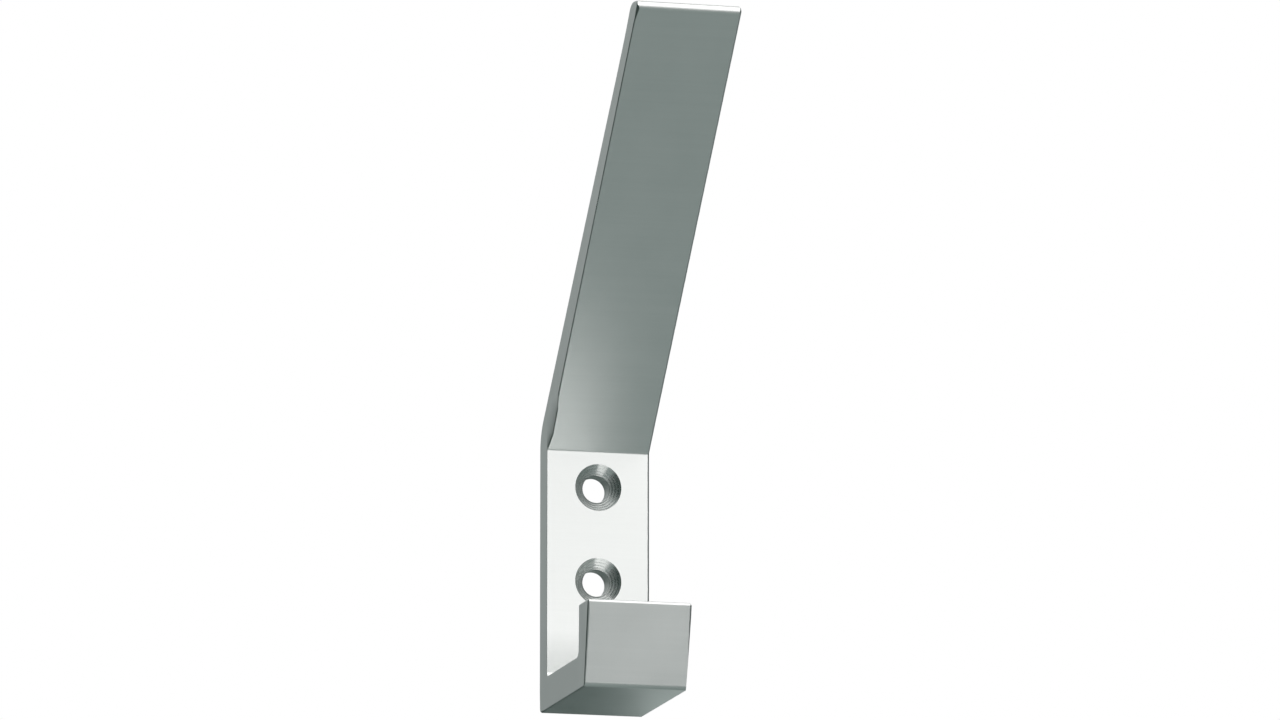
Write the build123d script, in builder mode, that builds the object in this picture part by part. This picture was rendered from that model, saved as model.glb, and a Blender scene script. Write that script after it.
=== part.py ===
from build123d import *
from math import cos, radians, sin, tan
import os

# Hat and coat hook, cut as one piece from an aluminium bar of constant section.
# A flat wall plate carries two countersunk screw holes. Below them the section turns
# out into a short J for a coat, and above them it leans out as a long tapered hat arm.
# Origin: on the wall plane, midway between the two screws. +X runs along the width,
# -Y points out of the wall into the room, +Z is up.

# Bar and wall plate
width = 20.0
plate_thickness = 5.5

# Screws
screw_spacing = 18.0
screw_hole_diameter = 5.2
countersink_diameter = 9.0
countersink_angle = 90.0
underside_to_screws = 33.8

# Lower hook: floor, throat and upstanding lip
throat_depth = 24.2
floor_thickness = 6.2
lip_height = 16.0
lip_top_thickness = 7.2
lip_lean = 10.5

# Hat arm. Heights are from the underside, and tip_height is that of the corner at the
# back of the tip before it is rounded.
root_height = 49.7
tip_height = 122.4
arm_lean = 45.0
arm_root_thickness = 6.5
arm_tip_thickness = 4.0
tip_flare = 0.6
tip_flare_length = 12.0
tip_fall = 8.0

# Radii along the section
bend_radius = 8.0
root_radius = 0.5
throat_plate_radius = 0.9
throat_lip_radius = 1.4
lip_edge_radius = 0.4
toe_radius = 1.2
heel_radius = 0.8
tip_top_radius = 3.6
tip_nose_radius = 0.8

# Break of the sharp edges left by the saw on both end faces
edge_break = 0.25

# Levels above and below the screws
underside = -underside_to_screws
top = underside + tip_height
floor_top = underside + floor_thickness
lip_top = underside + lip_height
root = underside + root_height

# The arm's back face leans out of the wall plane by arm_lean. It starts so far behind
# the inner corner at the root that the arm is arm_root_thickness thick there.
lean = radians(arm_lean)
along = Vector(-sin(lean), cos(lean))
outward = Vector(-cos(lean), -sin(lean))
root_corner = Vector(-plate_thickness, root)
back_start = root_corner - outward * arm_root_thickness
bend_corner = back_start + along * (back_start.X / sin(lean))
back_end = back_start + along * ((top - back_start.Y) / cos(lean))

# Near the tip the back face curves up a little, which keeps a hat from sliding off.
flare_start = back_end - along * tip_flare_length
flare_end = back_end + Vector(tip_flare / cos(lean), 0)

# The front face runs from the inner corner to the tip, where the arm is thinner. The
# tip's end face falls forward by tip_fall from the top of the back face.
front_run = back_end + outward * arm_tip_thickness - root_corner
fall = Vector(-cos(radians(tip_fall)), -sin(radians(tip_fall)))
front_reach = (flare_end - root_corner).cross(fall).Z / front_run.cross(fall).Z
nose_corner = root_corner + front_run * front_reach

# Lower hook, from the wall outwards
lip_inner = -(plate_thickness + throat_depth)
lip_outer_top = lip_inner - lip_top_thickness
toe = lip_outer_top + lip_height * tan(radians(lip_lean))

heel_corner = Vector(0, underside)
toe_corner = Vector(toe, underside)
lip_front_corner = Vector(lip_outer_top, lip_top)
lip_back_corner = Vector(lip_inner, lip_top)
throat_lip_corner = Vector(lip_inner, floor_top)
throat_plate_corner = Vector(-plate_thickness, floor_top)

section_radii = [
    (bend_corner, bend_radius),
    (heel_corner, heel_radius),
    (toe_corner, toe_radius),
    (lip_front_corner, lip_edge_radius),
    (lip_back_corner, lip_edge_radius),
    (throat_lip_corner, throat_lip_radius),
    (throat_plate_corner, throat_plate_radius),
    (root_corner, root_radius),
    (nose_corner, tip_nose_radius),
    (flare_end, tip_top_radius),
]

with BuildPart() as hook_body:
    # Side profile in the YZ plane, closed from the tip down the back and up the front
    with BuildSketch(Plane.YZ) as section:
        with BuildLine():
            TangentArc(flare_start, flare_end, tangent=along)
            Polyline(
                flare_start,
                bend_corner,
                heel_corner,
                toe_corner,
                lip_front_corner,
                lip_back_corner,
                throat_lip_corner,
                throat_plate_corner,
                root_corner,
                nose_corner,
                flare_end,
            )
        make_face()
        for corner, radius in section_radii:
            fillet(section.vertices().sort_by_distance(corner)[0], radius)
    extrude(amount=width / 2, both=True)

    # Saw-cut end faces, deburred all round
    end_faces = hook_body.faces().sort_by(Axis.X)
    fillet(end_faces[0].edges() + end_faces[-1].edges(), edge_break)

    # Two countersunk holes through the plate, open towards the room
    with Locations(Plane(origin=(0, -plate_thickness, 0), x_dir=(1, 0, 0), z_dir=(0, -1, 0))):
        with GridLocations(0, screw_spacing, 1, 2):
            CounterSinkHole(
                radius=screw_hole_diameter / 2,
                counter_sink_radius=countersink_diameter / 2,
                depth=plate_thickness,
                counter_sink_angle=countersink_angle,
            )

hook_body.part.label = "hook_body"

os.makedirs("parts", exist_ok=True)
export_step(hook_body.part, "parts/hook_body.step")
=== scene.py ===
from math import atan2, ceil, cos, pi, radians, sin, tan

import bmesh
import bpy
import numpy as np
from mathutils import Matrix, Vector


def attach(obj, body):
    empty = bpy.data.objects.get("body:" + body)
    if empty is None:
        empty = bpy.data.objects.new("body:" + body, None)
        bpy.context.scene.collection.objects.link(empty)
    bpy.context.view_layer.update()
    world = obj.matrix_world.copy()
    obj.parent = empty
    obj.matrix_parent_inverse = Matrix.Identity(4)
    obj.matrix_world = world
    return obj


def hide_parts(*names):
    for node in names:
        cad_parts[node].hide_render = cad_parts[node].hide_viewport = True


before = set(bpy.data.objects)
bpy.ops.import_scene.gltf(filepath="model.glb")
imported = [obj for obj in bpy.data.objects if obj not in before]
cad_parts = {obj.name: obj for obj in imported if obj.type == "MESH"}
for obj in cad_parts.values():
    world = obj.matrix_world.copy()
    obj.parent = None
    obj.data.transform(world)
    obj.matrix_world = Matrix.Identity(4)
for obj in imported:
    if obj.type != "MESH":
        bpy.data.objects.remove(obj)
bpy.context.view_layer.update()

MM = 0.001
TOUCH = 0.01 * MM

# Sizes of the hook, the same as in the CAD model
HALF_WIDTH = 10.0 * MM
PLATE_THICKNESS = 5.5 * MM
UNDERSIDE = -33.8 * MM
FLOOR_TOP = -27.6 * MM
LIP_TOP = -17.8 * MM
ROOT = 15.9 * MM
TOP = 88.6 * MM
THROAT_DEPTH = 24.2 * MM
LIP_TOP_THICKNESS = 7.2 * MM
LIP_LEAN = radians(10.5)
ARM_LEAN = radians(45)
ARM_ROOT_THICKNESS = 6.5 * MM
ARM_TIP_THICKNESS = 4.0 * MM
TIP_FLARE = 0.6 * MM
TIP_FLARE_LENGTH = 12.0 * MM
TIP_FALL = radians(8)
SCREW_HEIGHTS = (9.0 * MM, -9.0 * MM)
HOLE_RADIUS = 2.6 * MM
COUNTERSINK_RADIUS = 4.5 * MM

# Corners of the side profile as (y, z)
ALONG_ARM = Vector((-sin(ARM_LEAN), cos(ARM_LEAN)))
OUT_OF_ARM = Vector((-cos(ARM_LEAN), -sin(ARM_LEAN)))
ROOT_CORNER = Vector((-PLATE_THICKNESS, ROOT))
BACK_START = ROOT_CORNER - OUT_OF_ARM * ARM_ROOT_THICKNESS
BEND_CORNER = BACK_START + ALONG_ARM * (BACK_START.x / sin(ARM_LEAN))
BACK_END = BACK_START + ALONG_ARM * ((TOP - BACK_START.y) / cos(ARM_LEAN))
FLARE_START = BACK_END - ALONG_ARM * TIP_FLARE_LENGTH
FLARE_END = BACK_END + Vector((TIP_FLARE / cos(ARM_LEAN), 0))
FRONT_RUN = BACK_END + OUT_OF_ARM * ARM_TIP_THICKNESS - ROOT_CORNER
FALL = Vector((-cos(TIP_FALL), -sin(TIP_FALL)))
FRONT_REACH = (FLARE_END - ROOT_CORNER).cross(FALL) / FRONT_RUN.cross(FALL)
NOSE_CORNER = ROOT_CORNER + FRONT_RUN * FRONT_REACH
HEEL = Vector((0, UNDERSIDE))
PLATE_FOOT = Vector((-PLATE_THICKNESS, UNDERSIDE))
THROAT_BACK = Vector((-PLATE_THICKNESS, FLOOR_TOP))
LIP_BACK = Vector((-PLATE_THICKNESS - THROAT_DEPTH, LIP_TOP))
THROAT_FRONT = Vector((LIP_BACK.x, FLOOR_TOP))
LIP_FRONT = Vector((LIP_BACK.x - LIP_TOP_THICKNESS, LIP_TOP))
LIP_SLOPE = Vector((tan(LIP_LEAN), -1))
LIP_FRONT_LOW = LIP_FRONT + LIP_SLOPE * (LIP_TOP - FLOOR_TOP)
TOE = LIP_FRONT + LIP_SLOPE * (LIP_TOP - UNDERSIDE)

# Roundings of the profile: corner, radius in mm and number of flats. Lip, toe and nose differ
# by a few tenths from the CAD model, as the closest look at the photograph shows them.
ROUNDINGS = [
    (BEND_CORNER, 8.0, 10),
    (HEEL, 0.8, 4),
    (TOE, 0.9, 6),
    (LIP_FRONT, 0.5, 4),
    (LIP_BACK, 0.5, 4),
    (THROAT_FRONT, 1.4, 5),
    (THROAT_BACK, 0.9, 5),
    (ROOT_CORNER, 0.5, 3),
    (NOSE_CORNER, 1.0, 8),
    (FLARE_END, 3.65, 8),
]

# Flats of the back face's curve at the tip, and how little neighbours that merge may turn
FLARE_STEPS = 5
SAME_PLANE = radians(0.3)

# How wide the file broke the sharp edges of the two sawn ends. Each run of the profile
# gives (distance from its first corner, width) in mm. The throat and the plate between
# arm and lip are out of the file's reach, and the heel and the lip's front got most of it.
# Runs meet at the same width: a jump there would fold the edges of the roundings over.
ARM_FRONT = (NOSE_CORNER - ROOT_CORNER).length / MM
DRESSED_RUNS = [
    (HEEL, BEND_CORNER, [(0, 0.45), (3, 0.20)]),
    (BEND_CORNER, FLARE_START, [(0, 0.20), (70, 0.20), (78, 0.30)]),
    (FLARE_START, FLARE_END, [(0, 0.30)]),
    (FLARE_END, NOSE_CORNER, [(0, 0.30)]),
    (NOSE_CORNER, ROOT_CORNER, [(0, 0.30), (7, 0.26), (50, 0.22), (ARM_FRONT - 15, 0.24),
                                (ARM_FRONT - 1.2, 0.22), (ARM_FRONT, 0.10)]),
    (ROOT_CORNER, THROAT_BACK, [(0, 0.10)]),
    (THROAT_BACK, THROAT_FRONT, [(0, 0.10)]),
    (THROAT_FRONT, LIP_BACK, [(0, 0.10), (2, 0.10), (8, 0.30)]),
    (LIP_BACK, LIP_FRONT, [(0, 0.30), (7, 0.38)]),
    (LIP_FRONT, TOE, [(0, 0.38), (4, 0.40), (12, 0.30), (16, 0.24)]),
    (TOE, HEEL, [(0, 0.24), (4, 0.24), (10, 0.20), (30.9, 0.20), (33.9, 0.45)]),
]

# Full width of the bevel in mm, and the steps into which edges longer than the last are cut
WIDEST_DRESSING = 0.8
DRESSING_STEP = 1.0 * MM
LONG_EDGE = 2.8 * MM

# The right end's edges were broken more evenly, within these widths in mm
RIGHT_END_WIDTHS = (0.34, 0.38)

# Side of each end, and segments of its broken edges: rolled over or a plain chamfer
DRESSED_ENDS = ((-1, 3), (1, 1))

# The hand's wobble: its share of the width, two waves in radians per mm, a shift between
# the two ends, and how far from a corner it has grown to its full share, in mm
WOBBLE = 0.14
WOBBLE_WAVES = (1.9, 0.63)
WOBBLE_SHIFT = 40
WOBBLE_GROWN = 4.0

# Flats that the file left on a sawn end's corner with the front face. Each is a plane
# through three points (mm inwards from the sawn end, place in the profile): at the tip's
# left it runs out down the arm, at the toe's right it runs out up the lip.
TIP_FLAT = (-1, [(0, NOSE_CORNER - FRONT_RUN.normalized() * 5.8 * MM), (0.75, NOSE_CORNER),
                 (0, NOSE_CORNER - OUT_OF_ARM * 0.60 * MM)])
TOE_FLAT = (1, [(0, LIP_FRONT), (0.45, TOE), (0, TOE + Vector((2.4 * MM, 0)))])
FLAT_BLOCK = 18 * MM

# Dip that the file left in the arm's left edge just above the root, in mm: its depth, how
# far from the root it is deepest, and how much further up it runs out. It is a flat almost
# in line with the sawn end, with a narrow chamfer along its edge. The cuts are places along
# the arm, and each file is its tilt and how much wider it cuts.
ROOT_DIP = (0.55, 4.6, 8.4)
ROOT_DIP_CUTS = (0.6, 1.8, 3.0, 4.2, 5.8, 7.6, 9.4, 11.2, 12.8)
ROOT_DIP_FILES = ((radians(8), 0.0), (radians(45), 0.13))

# Block that stands for the file at the dip. Its middle lies up the arm and out of the bar
# from the corner at the root, in shares of its size, so that the block starts just above
# the root and reaches a quarter of its size into the bar.
ROOT_DIP_BLOCK = 20 * MM
BLOCK_UP, BLOCK_OUT = 0.51, 0.25

# Rings that the countersink's cutting edge left in the cone, and how skewed each ring is
RINGS = 4
STEPS_PER_RING = 8
RING_DEPTH = 0.015 * MM
RING_SKEW = 0.4

# Sides of the drill's circle, and how far the drill runs past the plate front and back
HOLE_SIDES = 96
DRILL_OVERSHOOT = 1 * MM

# Edges that turn by less than this shade smooth
SMOOTH_TURN = radians(33)

# Base colours between which the noise moves, as (dark, light)
ANODISED = ((0.817, 0.841, 0.831), (0.872, 0.892, 0.883))
# The turned cone's range is wide: with the ring lines' large share, its dark end lays painted
# shade along the ring grooves
TURNED_WITH_RING_SHADE = ((0.68, 0.70, 0.69), (0.97, 0.985, 0.98))
BORED = ((0.80, 0.82, 0.81), (0.88, 0.90, 0.89))

# Anodised grain and its clouds: scales per metre, share of the clouds and height of the grain
GRAIN_SCALE = 5200
CLOUD_SCALE = 130
CLOUDING = 0.6
GRAIN_HEIGHT = 0.0006 * MM

# Scale of the wide tool lines as a share of the fine ones' scale
WIDE_LINES = 0.23

# Range that the noise fills, and how far the roughness moves with it
NOISE_RANGE = {"From Min": 0.3, "From Max": 0.7}
ROUGHNESS_SPREAD = 0.04

# A face is sawn if its normal lies along the width by more than the first share, drawn if
# by less than the second, and a filed edge in between
SAWN_TURN = 0.98
DRAWN_TURN = 0.02

# Photograph's frame and viewpoint: a long lens, a little left of the hook and below it
PHOTO_WIDTH_PX = 1280
SENSOR_WIDTH_MM = 36.0
VIEW_AZIMUTH = -14.67
VIEW_ELEVATION = -10.98
CAMERA_DISTANCE = 1.9
SCALE_PX_PER_MM = 5.315
AIM = Vector((3.86, -21.90, 30.70)) * MM

# The room that lights the metal, from below to above, and the heights where it changes
ROOM_BELOW = (0.140, 0.162, 0.158, 1)
ROOM_ABOVE = (0.477, 0.509, 0.500, 1)
ROOM_CHANGE = {"From Min": -0.3, "From Max": 0.4}

# Dark flags round the hook: direction, cosines of the angles from it where each flag starts
# and is full, and colour. What reflects each in the photograph's view stands beside it.
FLAGS = [
    ((-0.93, 0.26, -0.13), 0.60, 0.78, (0.018, 0.032, 0.027, 1)),   # the arm's left edge
    ((0.30, 0.93, -0.22), 0.80, 0.96, (0.018, 0.032, 0.027, 1)),    # the underside
    ((0.35, 0.78, 0.52), 0.82, 0.95, (0.090, 0.100, 0.100, 1)),     # top of tip and lip
    ((-0.65, -0.05, 0.76), 0.84, 0.95, (0.030, 0.045, 0.040, 1)),   # lower right of the cones
    ((-0.93, -0.30, 0.19), 0.88, 0.96, (0.030, 0.045, 0.040, 1)),   # right of the cones
    ((0.96, 0.26, 0.12), 0.94, 0.98, (0.060, 0.072, 0.068, 1)),     # right-hand edges
]

# Pale floor well below the hook, which only light and reflections see
FLOOR_SIZE = 8
FLOOR_PLACE = (3.4, -3.0, -0.65)
FLOOR_COLOUR = (0.366, 0.424, 0.412, 1)


def pick(kind, test):
    """In edit mode, select just the elements of one kind that pass the test."""
    bpy.ops.mesh.select_mode(type=kind)
    bpy.ops.mesh.select_all(action="DESELECT")
    mesh = bmesh.from_edit_mesh(bpy.context.object.data)
    elements = {"VERT": mesh.verts, "EDGE": mesh.edges, "FACE": mesh.faces}[kind]
    for element in [element for element in elements if test(element)]:
        element.select_set(True)
    mesh.select_flush_mode()
    bmesh.update_edit_mesh(bpy.context.object.data)


def edge_across(corner):
    """Test for the edge that runs along the width at a corner (y, z) of the profile."""
    return lambda edge: all((vert.co.yz - corner).length < TOUCH for vert in edge.verts)


def face_between(corner_a, corner_b):
    """Test for the face that spans the width between two corners (y, z)."""
    middle = (corner_a + corner_b) / 2
    return lambda face: (abs(face.normal.x) < 0.1
                         and (face.calc_center_median().yz - middle).length < TOUCH)


def draw_out(step):
    """Extrude what is selected by a step (y, z)."""
    bpy.ops.mesh.extrude_region_move(TRANSFORM_OT_translate={"value": (0, step.x, step.y)})


def shift_edge(corner, target):
    """Move the edge along the width from one corner of the profile to another place."""
    pick("EDGE", edge_across(corner))
    bpy.ops.transform.translate(value=(0, target.x - corner.x, target.y - corner.y))


def cut_across(point, normal):
    """Cut the whole bar with a plane along the width, given as (y, z)."""
    bpy.ops.mesh.select_all(action="SELECT")
    bpy.ops.mesh.bisect(plane_co=(0, point.x, point.y), plane_no=(0, normal.x, normal.y))


def round_corner(corner, radius, segments):
    """Round the edge along the width at one corner of the profile. The bevel's own profile is
    a circle for a right angle only; rise is how far a circle lies towards the corner."""
    pick("EDGE", edge_across(corner))
    mesh = bmesh.from_edit_mesh(bpy.context.object.data)
    turn = next(edge for edge in mesh.edges if edge.select).calc_face_angle()
    rise = cos(turn / 2) / (1 + cos(turn / 2))
    bpy.ops.mesh.bevel(offset=radius * tan(turn / 2), offset_type="OFFSET", segments=segments,
                       profile=((1 + rise) / 2) ** 2, affect="EDGES", clamp_overlap=False)


def model_bar():
    """Plate, lower J and hat arm, drawn out of one block face by face."""
    bpy.ops.object.select_all(action="DESELECT")
    bpy.ops.mesh.primitive_cube_add(
        size=1, location=(0, -PLATE_THICKNESS / 2, (UNDERSIDE + ROOT) / 2),
        scale=(2 * HALF_WIDTH, PLATE_THICKNESS, ROOT - UNDERSIDE))
    hook = bpy.context.object
    hook.name = hook.data.name = "hat_and_coat_hook"
    bpy.ops.object.transform_apply(location=True, rotation=True, scale=True)
    bpy.ops.object.mode_set(mode="EDIT")

    # Floor of the J, then its lip, which leans out a little
    cut_across(THROAT_BACK, Vector((0, 1)))
    pick("FACE", face_between(PLATE_FOOT, THROAT_BACK))
    draw_out(THROAT_FRONT - THROAT_BACK)
    draw_out(LIP_FRONT_LOW - THROAT_FRONT)
    shift_edge(Vector((LIP_FRONT_LOW.x, UNDERSIDE)), TOE)
    pick("FACE", face_between(THROAT_FRONT, LIP_FRONT_LOW))
    draw_out(LIP_BACK - THROAT_FRONT)
    shift_edge(Vector((LIP_FRONT_LOW.x, LIP_TOP)), LIP_FRONT)

    # Hat arm: its back leaves the wall plane a little higher than its front leaves the plate
    shift_edge(Vector((0, ROOT)), BEND_CORNER)
    pick("FACE", face_between(ROOT_CORNER, BEND_CORNER))
    draw_out(NOSE_CORNER - ROOT_CORNER)
    shift_edge(BEND_CORNER + NOSE_CORNER - ROOT_CORNER, BACK_END)

    # The back face curves up towards the tip
    curve = ALONG_ARM * (TIP_FLARE_LENGTH - TIP_FLARE)
    for step in range(FLARE_STEPS):
        cut_across(FLARE_START + curve * (step / FLARE_STEPS), ALONG_ARM)
    for step in range(1, FLARE_STEPS):
        share = step / FLARE_STEPS
        corner = FLARE_START + curve * share
        shift_edge(corner, corner - OUT_OF_ARM * (TIP_FLARE * share ** 2))
    shift_edge(BACK_END, FLARE_END)
    bpy.ops.mesh.select_all(action="SELECT")
    bpy.ops.mesh.dissolve_limited(angle_limit=SAME_PLANE)

    for corner, radius, segments in ROUNDINGS:
        round_corner(corner, radius * MM, segments)
    bpy.ops.object.mode_set(mode="OBJECT")
    return hook


def middle_of(edge):
    return (edge.verts[0].co + edge.verts[1].co) / 2


def on_sawn_end(a, b):
    return min(abs(a.x), abs(b.x)) > HALF_WIDTH - TOUCH and abs(a.x - b.x) < TOUCH


def dressing_width(point):
    """Width of the broken edge at a point of a sawn end, in mm. It wobbles away from the
    corners only, where the short edges of the roundings would fold over otherwise."""
    nearest, width = None, 0
    for start, end, widths in DRESSED_RUNS:
        run = end - start
        at = min(max((point.yz - start).dot(run) / run.length_squared, 0), 1)
        away = (point.yz - start - run * at).length
        if nearest is None or away < nearest:
            distance = at * run.length / MM
            to_corner = min(at, 1 - at) * run.length / MM
            nearest, width = away, np.interp(distance, *zip(*widths))
    if point.x > 0:
        narrowest, widest = RIGHT_END_WIDTHS
        width = min(max(width, narrowest), widest)
    share = WOBBLE * min(1, to_corner / WOBBLE_GROWN)
    quick, slow = WOBBLE_WAVES
    wave = sin(quick * distance) * sin(slow * distance + WOBBLE_SHIFT * point.x / MM)
    return width * (1 + share * wave)


def dress_sawn_ends(hook):
    """Break the edges all round both sawn ends, wider and narrower as a hand file does."""
    bpy.ops.object.mode_set(mode="EDIT")
    mesh = bmesh.from_edit_mesh(hook.data)
    long_edges = [(middle_of(edge), edge.calc_length()) for edge in mesh.edges
                  if on_sawn_end(edge.verts[0].co, edge.verts[1].co)
                  and edge.calc_length() > LONG_EDGE]
    for middle, length in long_edges:
        pick("EDGE", lambda edge: (middle_of(edge) - middle).length < TOUCH)
        bpy.ops.mesh.subdivide(number_cuts=ceil(length / DRESSING_STEP) - 1)
    bpy.ops.object.mode_set(mode="OBJECT")

    for side, segments in DRESSED_ENDS:
        weights = hook.data.attributes.new("dressing", "FLOAT", "EDGE")
        for edge in hook.data.edges:
            a, b = (hook.data.vertices[index].co for index in edge.vertices)
            if on_sawn_end(a, b) and a.x * side > 0:
                weight = dressing_width((a + b) / 2) / WIDEST_DRESSING
                weights.data[edge.index].value = weight
        dressing = hook.modifiers.new("dressing", "BEVEL")
        dressing.limit_method = "WEIGHT"
        dressing.edge_weight = weights.name
        dressing.width = WIDEST_DRESSING * MM
        dressing.segments = segments
        dressing.use_clamp_overlap = False
        bpy.ops.object.modifier_apply(modifier=dressing.name)
        hook.data.attributes.remove(hook.data.attributes["dressing"])


def take_away(hook, tool):
    """Remove the volume of a tool from the hook, and the tool with it."""
    bpy.context.view_layer.objects.active = hook
    cut = hook.modifiers.new("cut", "BOOLEAN")
    cut.operation = "DIFFERENCE"
    cut.solver = "MANIFOLD"
    cut.object = tool
    bpy.ops.object.modifier_apply(modifier=cut.name)
    bpy.data.objects.remove(tool)


def file_flat(hook, side, points):
    """Take a corner of one sawn end off with a plane through three points."""
    a, b, c = (Vector((side * (HALF_WIDTH - inwards * MM), *place)) for inwards, place in points)
    outwards = (b - a).cross(c - a).normalized()
    outwards *= side if outwards.x > 0 else -side
    bpy.ops.object.select_all(action="DESELECT")
    bpy.ops.mesh.primitive_cube_add(
        size=FLAT_BLOCK, location=(a + b + c) / 3 + outwards * (FLAT_BLOCK / 2),
        rotation=outwards.to_track_quat("Z", "Y").to_euler())
    take_away(hook, bpy.context.object)


def file_root_dip(hook, tilt, wider):
    """File the arm's left edge above the root with a block tilted from the sawn end. Each cut
    of the block is a plane that touches the dip's curve, drawn on the arm's front face."""
    depth, deepest, beyond = ROOT_DIP
    up = Vector((0, *FRONT_RUN.normalized()))
    out = Vector((0, -up.z, up.y))
    inwards = Vector((1, 0, 0))
    corner = Vector((-HALF_WIDTH, *ROOT_CORNER))
    bpy.ops.object.select_all(action="DESELECT")
    bpy.ops.mesh.primitive_cube_add(
        size=ROOT_DIP_BLOCK,
        location=corner + (up * BLOCK_UP - inwards * BLOCK_OUT) * ROOT_DIP_BLOCK,
        rotation=(atan2(up.z, up.y), 0, 0))
    block = bpy.context.object
    bpy.ops.object.transform_apply(location=True, rotation=True, scale=True)
    bpy.ops.object.mode_set(mode="EDIT")
    for place in ROOT_DIP_CUTS:
        half = deepest if place < deepest else beyond
        share = (place - deepest) / half
        across = depth * (1 - share ** 2) + wider
        touched = corner + (up * place + inwards * across) * MM
        slope = -2 * depth * share / half
        normal = (up + inwards * slope).cross(out + inwards * tan(tilt))
        bpy.ops.mesh.select_all(action="SELECT")
        bpy.ops.mesh.bisect(plane_co=touched, plane_no=normal if normal.x > 0 else -normal,
                            use_fill=True, clear_outer=True)
    bpy.ops.mesh.select_all(action="SELECT")
    bpy.ops.mesh.normals_make_consistent(inside=False)
    bpy.ops.object.mode_set(mode="OBJECT")
    take_away(hook, block)


def countersink_drill(height):
    """Solid that one screw hole takes out of the plate: bore and ringed cone, run on past the
    plate's back and front.
    """
    bpy.ops.object.select_all(action="DESELECT")
    bpy.ops.mesh.primitive_circle_add(
        vertices=HOLE_SIDES, radius=HOLE_RADIUS, fill_type="NGON",
        location=(0, DRILL_OVERSHOOT, height), rotation=(pi / 2, 0, 0))
    drill = bpy.context.object
    bpy.ops.object.transform_apply(location=True, rotation=True, scale=True)
    bpy.ops.object.mode_set(mode="EDIT")
    bpy.ops.mesh.select_all(action="SELECT")
    cone_depth = COUNTERSINK_RADIUS - HOLE_RADIUS
    cone_start = -PLATE_THICKNESS + cone_depth
    draw_out(Vector((cone_start - DRILL_OVERSHOOT, 0)))

    radius, steps = HOLE_RADIUS, RINGS * STEPS_PER_RING
    for step in range(1, steps + 1):
        share = step / steps
        turn = 2 * pi * RINGS * share
        ring = RING_DEPTH * (sin(turn) + RING_SKEW * sin(2 * turn))
        wider = HOLE_RADIUS + cone_depth * share + ring
        draw_out(Vector((-cone_depth / steps, 0)))
        bpy.ops.transform.resize(value=(wider / radius, 1, wider / radius),
                                 center_override=(0, cone_start, height))
        radius = wider
    draw_out(Vector((-DRILL_OVERSHOOT, 0)))
    bpy.ops.mesh.select_all(action="SELECT")
    bpy.ops.mesh.normals_make_consistent(inside=False)
    bpy.ops.object.mode_set(mode="OBJECT")
    return drill


def smooth_surfaces(hook):
    """Round surfaces shade smooth and flat faces stay flat."""
    bpy.ops.object.select_all(action="DESELECT")
    hook.select_set(True)
    bpy.context.view_layer.objects.active = hook
    bpy.ops.object.shade_smooth_by_angle(angle=SMOOTH_TURN)
    flat = hook.modifiers.new("flat_faces", "WEIGHTED_NORMAL")
    flat.keep_sharp = True
    bpy.ops.object.modifier_apply(modifier=flat.name)


def model_hook():
    hook = model_bar()
    dress_sawn_ends(hook)
    for side, points in (TIP_FLAT, TOE_FLAT):
        file_flat(hook, side, points)
    for tilt, wider in ROOT_DIP_FILES:
        file_root_dip(hook, tilt, wider)
    for height in SCREW_HEIGHTS:
        take_away(hook, countersink_drill(height))
    smooth_surfaces(hook)
    return hook


def add_node(tree, kind, inputs=None, **settings):
    """New shader node. Its inputs are plain values or other nodes' output sockets."""
    node = tree.nodes.new("ShaderNode" + kind)
    for name, value in settings.items():
        setattr(node, name, value)
    for name, value in (inputs or {}).items():
        if isinstance(value, bpy.types.NodeSocket):
            tree.links.new(value, node.inputs[name])
        else:
            node.inputs[name].default_value = value
    return node


def new_group(name, inputs, outputs):
    """Empty node group with float or vector inputs and float outputs."""
    group = bpy.data.node_groups.new(name, "ShaderNodeTree")
    for socket, value in inputs.items():
        kind = "NodeSocketVector" if value is None else "NodeSocketFloat"
        made = group.interface.new_socket(socket, in_out="INPUT", socket_type=kind)
        if value is not None:
            made.default_value = value
    for socket in outputs:
        group.interface.new_socket(socket, in_out="OUTPUT", socket_type="NodeSocketFloat")
    given = group.nodes.new("NodeGroupInput").outputs
    result = group.nodes.new("NodeGroupOutput").inputs
    return group, given, result


def make_anodised_grain():
    """Etched grain of satin anodising, with the faint clouds of the bath."""
    group, given, result = new_group("anodised_grain", {"Place": None, "Clouding": 0.5},
                                     ["Tone", "Height"])
    grain = add_node(group, "TexNoise", {"Vector": given["Place"], "Scale": GRAIN_SCALE,
                                         "Detail": 3})
    clouds = add_node(group, "TexNoise", {"Vector": given["Place"], "Scale": CLOUD_SCALE,
                                          "Detail": 4})
    tone = add_node(group, "Mix", {"Factor": given["Clouding"], "A": grain.outputs["Fac"],
                                   "B": clouds.outputs["Fac"]}, data_type="FLOAT")
    group.links.new(tone.outputs["Result"], result["Tone"])
    group.links.new(grain.outputs["Fac"], result["Height"])
    return group


def make_tool_lines():
    """Fine lines that a die, saw or cutter leaves, a few bold ones among many faint."""
    group, given, result = new_group(
        "tool_lines", {"Place": None, "Lines per metre": 2000, "Bold": 0.4}, ["Tone", "Height"])
    fine = add_node(group, "TexNoise", {"Vector": given["Place"], "Detail": 2,
                                        "Scale": given["Lines per metre"]})
    wide_scale = add_node(group, "Math", {0: given["Lines per metre"], 1: WIDE_LINES},
                          operation="MULTIPLY")
    wide = add_node(group, "TexNoise", {"Vector": given["Place"], "Detail": 1,
                                        "Scale": wide_scale.outputs["Value"]})
    lines = add_node(group, "Mix", {"Factor": given["Bold"], "A": fine.outputs["Fac"],
                                    "B": wide.outputs["Fac"]}, data_type="FLOAT")
    for socket in ("Tone", "Height"):
        group.links.new(lines.outputs["Result"], result[socket])
    return group


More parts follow.
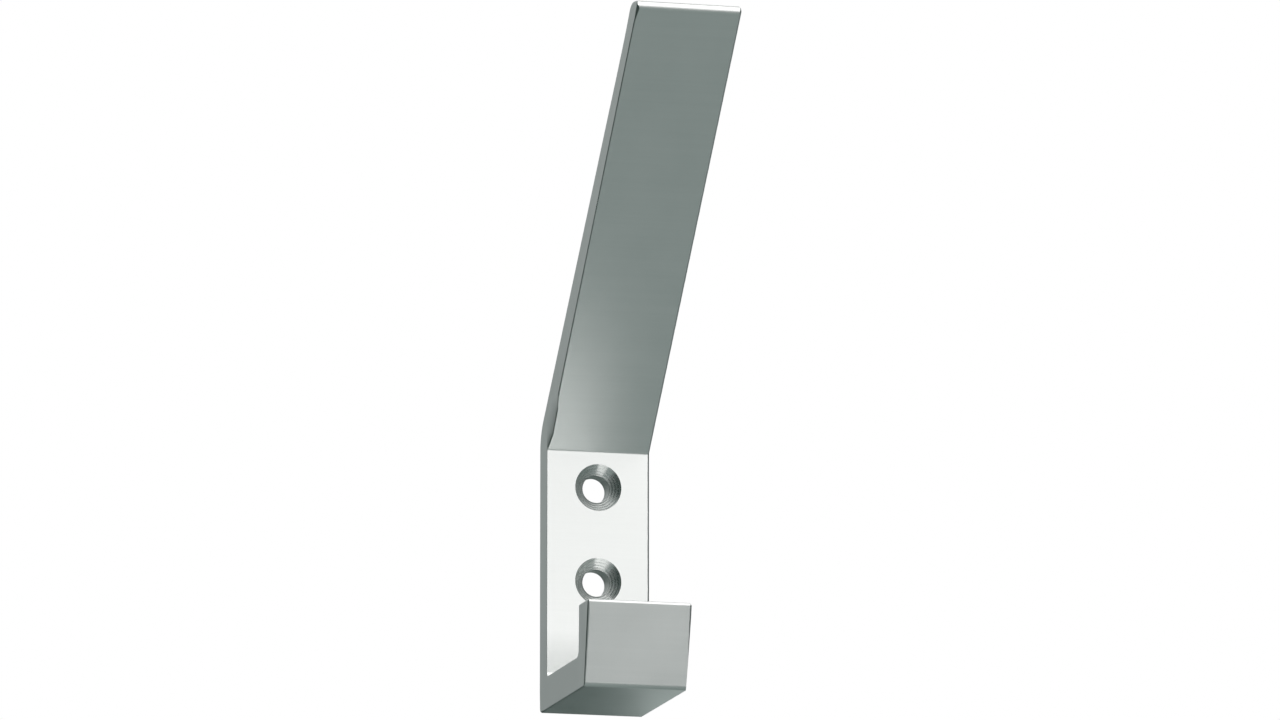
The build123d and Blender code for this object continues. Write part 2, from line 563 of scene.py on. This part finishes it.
def satin_aluminium(name, place_of_lines, lines_per_metre, bold, line_height, roughness,
                    anisotropy=0.0, tangent=None, tones=ANODISED, line_share=0.45):
    """Anodised aluminium with the lines of one tool: drawn, sawn, filed or turned."""
    material = bpy.data.materials.new(name)
    material.use_nodes = True
    tree = material.node_tree
    shader = tree.nodes["Principled BSDF"]
    place = add_node(tree, "TexCoord").outputs["Object"]
    grain = add_node(tree, "Group", {"Place": place, "Clouding": CLOUDING},
                     node_tree=GRAIN).outputs
    lines = add_node(tree, "Group", {"Place": place_of_lines(tree, place), "Bold": bold,
                                     "Lines per metre": lines_per_metre},
                     node_tree=TOOL_LINES).outputs
    tone = add_node(tree, "Mix", {"Factor": line_share, "A": grain["Tone"], "B": lines["Tone"]},
                    data_type="FLOAT").outputs["Result"]
    spread = add_node(tree, "MapRange", {"Value": tone, **NOISE_RANGE}).outputs["Result"]
    dark, light = tones
    colour = add_node(tree, "Mix", {"Factor": spread, "A": (*dark, 1), "B": (*light, 1)},
                      data_type="RGBA")
    rough = add_node(tree, "MapRange", {"Value": tone, **NOISE_RANGE,
                                        "To Min": roughness - ROUGHNESS_SPREAD,
                                        "To Max": roughness + ROUGHNESS_SPREAD})
    lined = add_node(tree, "Bump", {"Height": lines["Height"], "Distance": line_height,
                                    "Strength": 1})
    etched = add_node(tree, "Bump", {"Height": grain["Height"], "Distance": GRAIN_HEIGHT,
                                     "Strength": 1, "Normal": lined.outputs["Normal"]})
    tree.links.new(colour.outputs["Result"], shader.inputs["Base Color"])
    tree.links.new(rough.outputs["Result"], shader.inputs["Roughness"])
    tree.links.new(etched.outputs["Normal"], shader.inputs["Normal"])
    shader.inputs["Metallic"].default_value = 1.0
    shader.inputs["Anisotropic"].default_value = anisotropy
    if tangent:
        tree.links.new(tangent(tree, place), shader.inputs["Tangent"])
    return material


def stretched(scale):
    """Place of tool lines that run along the axis whose scale is small."""
    return lambda tree, place: add_node(tree, "Mapping", {"Vector": place,
                                                          "Scale": scale}).outputs["Vector"]


def from_screw_axis(tree, place):
    """Vector from the nearer screw hole's axis, both holes being as far from the middle."""
    parts = add_node(tree, "SeparateXYZ", {"Vector": place}).outputs
    side = add_node(tree, "Math", {0: parts["Z"]}, operation="SIGN").outputs["Value"]
    axis = add_node(tree, "Math", {0: side, 1: SCREW_HEIGHTS[0]},
                    operation="MULTIPLY").outputs["Value"]
    height = add_node(tree, "Math", {0: parts["Z"], 1: axis},
                      operation="SUBTRACT").outputs["Value"]
    return add_node(tree, "CombineXYZ", {"X": parts["X"], "Z": height}).outputs["Vector"]


def rings(tree, place):
    """Place of tool lines that run round each screw hole."""
    reach = add_node(tree, "VectorMath", {0: from_screw_axis(tree, place)}, operation="LENGTH")
    return add_node(tree, "CombineXYZ", {"X": reach.outputs["Value"]}).outputs["Vector"]


def along_profile(tree, place):
    return add_node(tree, "Tangent", direction_type="RADIAL", axis="X").outputs["Tangent"]


def finish_hook(hook):
    """Each surface takes the finish of the tool that made it."""
    finishes = {
        "drawn": satin_aluminium(
            "drawn_face", stretched((0.02, 1, 1)), 2600, bold=0.45, line_height=0.0020 * MM,
            roughness=0.40, anisotropy=0.45, tangent=along_profile),
        "sawn": satin_aluminium(
            "sawn_face", stretched((1, 1, 0.03)), 2200, bold=0.35, line_height=0.0014 * MM,
            roughness=0.36),
        "filed": satin_aluminium(
            "filed_edge", stretched((1, 0.2, 0.2)), 900, bold=0.6, line_height=0.006 * MM,
            roughness=0.30),
        # The countersink's ring lines carry most of its tone, so the rings show as painted shade
        # in the grooves besides their bumps
        "turned": satin_aluminium(
            "turned_countersink", rings, 4000, bold=0.15, line_height=0.0080 * MM,
            roughness=0.23, anisotropy=0.4, tangent=from_screw_axis, tones=TURNED_WITH_RING_SHADE,
            line_share=0.9),
        "bored": satin_aluminium(
            "bored_hole", stretched((0.1, 1, 0.1)), 2000, bold=0.5, line_height=0.0060 * MM,
            roughness=0.50, tones=BORED),
    }
    hook.data.materials.clear()
    for material in finishes.values():
        hook.data.materials.append(material)
    order = list(finishes)
    for face in hook.data.polygons:
        inside = -PLATE_THICKNESS + TOUCH < face.center.y < -TOUCH
        off_axis = min((face.center.xz - Vector((0, height))).length for height in SCREW_HEIGHTS)
        if inside and off_axis < COUNTERSINK_RADIUS:
            finish = "bored" if off_axis < HOLE_RADIUS else "turned"
        elif abs(face.normal.x) > SAWN_TURN:
            finish = "sawn"
        elif abs(face.normal.x) > DRAWN_TURN:
            finish = "filed"
        else:
            finish = "drawn"
        face.material_index = order.index(finish)


def direction(azimuth, elevation):
    """Unit vector from the hook towards a point of the room; azimuth 0 is straight out."""
    a, e = radians(azimuth), radians(elevation)
    return Vector((sin(a) * cos(e), -cos(a) * cos(e), sin(e)))


def add_camera():
    data = bpy.data.cameras.new("camera")
    data.sensor_width = SENSOR_WIDTH_MM
    focal_px = SCALE_PX_PER_MM * CAMERA_DISTANCE / MM
    data.lens = focal_px * SENSOR_WIDTH_MM / PHOTO_WIDTH_PX
    data.clip_start = 0.1
    data.clip_end = 20
    camera = bpy.data.objects.new("camera", data)
    bpy.context.scene.collection.objects.link(camera)
    back = direction(VIEW_AZIMUTH, VIEW_ELEVATION)
    camera.location = AIM + back * CAMERA_DISTANCE
    camera.rotation_mode = "QUATERNION"
    camera.rotation_quaternion = (-back).to_track_quat("-Z", "Y")
    bpy.context.scene.camera = camera


def add_softbox(name, place, width, height, radiance, aim=Vector(), colour=(1, 0.95, 0.95)):
    """Area lamp that faces the hook, with its brightness given as radiance."""
    data = bpy.data.lights.new(name, "AREA")
    data.shape = "RECTANGLE"
    data.size = width
    data.size_y = height
    data.energy = radiance * pi * width * height
    data.color = colour
    lamp = bpy.data.objects.new(name, data)
    bpy.context.scene.collection.objects.link(lamp)
    lamp.location = place
    lamp.rotation_mode = "QUATERNION"
    lamp.rotation_quaternion = (place - aim).to_track_quat("Z", "Y")
    lamp.visible_camera = False


def add_lamps():
    """Two large softboxes, a weak panel below, and a small reflector near the underside."""
    add_softbox("front_softbox", direction(12, 32) * 1.0, 1.5, 1.2, radiance=1.053)
    add_softbox("top_softbox", direction(15, 72) * 0.8, 0.8, 0.8, radiance=0.90)
    add_softbox("low_front_panel", direction(18, -14) * 1.0, 0.9, 0.4, radiance=0.054)
    add_softbox("near_reflector", Vector((40, 36, -62)) * MM, 0.045, 0.045, radiance=0.44,
                aim=Vector((0, -18, -34)) * MM, colour=(0.93, 1, 0.98))


def white_to_camera(tree, white_kind, seen_by_light, socket):
    """White where the camera looks past the hook; light and reflections see the rest."""
    white = add_node(tree, white_kind, {"Color": (1, 1, 1, 1)})
    path = add_node(tree, "LightPath")
    mix = add_node(tree, "MixShader", {"Fac": path.outputs["Is Camera Ray"],
                                       1: seen_by_light, 2: white.outputs[0]})
    tree.links.new(mix.outputs["Shader"], socket)


def add_floor():
    bpy.ops.object.select_all(action="DESELECT")
    bpy.ops.mesh.primitive_plane_add(size=FLOOR_SIZE, location=FLOOR_PLACE)
    floor = bpy.context.object
    floor.name = "floor"
    bpy.ops.object.transform_apply(location=True, rotation=True, scale=True)
    material = bpy.data.materials.new("pale_floor")
    material.use_nodes = True
    tree = material.node_tree
    tree.nodes.clear()
    matt = add_node(tree, "BsdfDiffuse", {"Color": FLOOR_COLOUR})
    out = add_node(tree, "OutputMaterial")
    white_to_camera(tree, "Emission", matt.outputs["BSDF"], out.inputs["Surface"])
    floor.data.materials.append(material)


def add_flag(tree, place, lit, centre, edge, core, colour):
    """The lit room, darkened round one direction from edge to core (cosines of the angle)."""
    near = add_node(tree, "VectorMath", {0: place, 1: Vector(centre).normalized()},
                    operation="DOT_PRODUCT")
    share = add_node(tree, "MapRange", {"Value": near.outputs["Value"], "From Min": edge,
                                        "From Max": core}, interpolation_type="SMOOTHSTEP")
    mixed = add_node(tree, "Mix", {"Factor": share.outputs["Result"], "A": lit, "B": colour},
                     data_type="RGBA")
    return mixed.outputs["Result"]


def set_world():
    """A pale room, lighter above, with soft-edged dark flags."""
    world = bpy.data.worlds.new("studio")
    bpy.context.scene.world = world
    world.use_nodes = True
    tree = world.node_tree
    tree.nodes.clear()
    place = add_node(tree, "TexCoord").outputs["Generated"]
    height = add_node(tree, "SeparateXYZ", {"Vector": place}).outputs["Z"]
    rise = add_node(tree, "MapRange", {"Value": height, **ROOM_CHANGE},
                    interpolation_type="SMOOTHSTEP").outputs["Result"]
    room = add_node(tree, "Mix", {"Factor": rise, "A": ROOM_BELOW, "B": ROOM_ABOVE},
                    data_type="RGBA").outputs["Result"]
    for flag in FLAGS:
        room = add_flag(tree, place, room, *flag)
    light = add_node(tree, "Background", {"Color": room})
    out = add_node(tree, "OutputWorld")
    white_to_camera(tree, "Background", light.outputs["Background"], out.inputs["Surface"])


bpy.context.scene.view_settings.view_transform = "Standard"
add_camera()
set_world()
add_floor()
add_lamps()

GRAIN = make_anodised_grain()
TOOL_LINES = make_tool_lines()
hook = model_hook()
finish_hook(hook)
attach(hook, "root")
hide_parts("hook_body")
